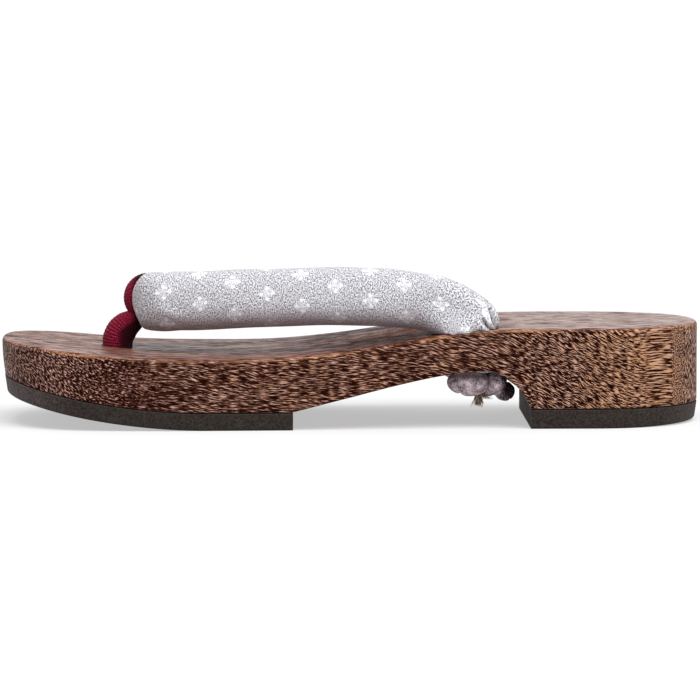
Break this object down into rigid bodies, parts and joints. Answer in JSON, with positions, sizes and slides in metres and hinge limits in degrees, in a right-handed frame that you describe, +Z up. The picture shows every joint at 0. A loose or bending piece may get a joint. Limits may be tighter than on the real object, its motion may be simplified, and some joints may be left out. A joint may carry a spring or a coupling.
{
  "type": "geta sandal",
  "caption": "Low wooden sandal with a scooped arch, rubber treads, a padded V strap and a knitted toe loop that goes through the base.",
  "frame": {"origin": "centre of the footprint's box, on the floor that the treads rest on", "axes": "+X from toe to heel along the sandal, +Y to the wearer's right with the toe ahead, +Z up"},
  "size_m": [0.24, 0.088, 0.0541],
  "materials": {
    "hardwood": "polished dark figured hardwood with short tan flecks",
    "tread_rubber": "matt charcoal rubber, paler where it is scuffed",
    "figured_cloth": "light grey woven cloth with small white four-dot diamonds",
    "dark_red_knit": "ribbed dark crimson knit",
    "knot_cord": "plain twisted cord",
    "tail_cloth": "plain grey woven cloth",
    "hemp": "frayed brown hemp fibre"
  },
  "bodies": {
    "root": {"wooden_base": "hardwood", "forefoot_rubber": "tread_rubber", "heel_rubber": "tread_rubber", "padded_strap": "figured_cloth", "toe_loop": "dark_red_knit", "toe_knot": "knot_cord", "left_tail_knot": "tail_cloth", "right_tail_knot": "tail_cloth", "left_hemp_end": "hemp", "right_hemp_end": "hemp"}
  },
  "joints": []
}
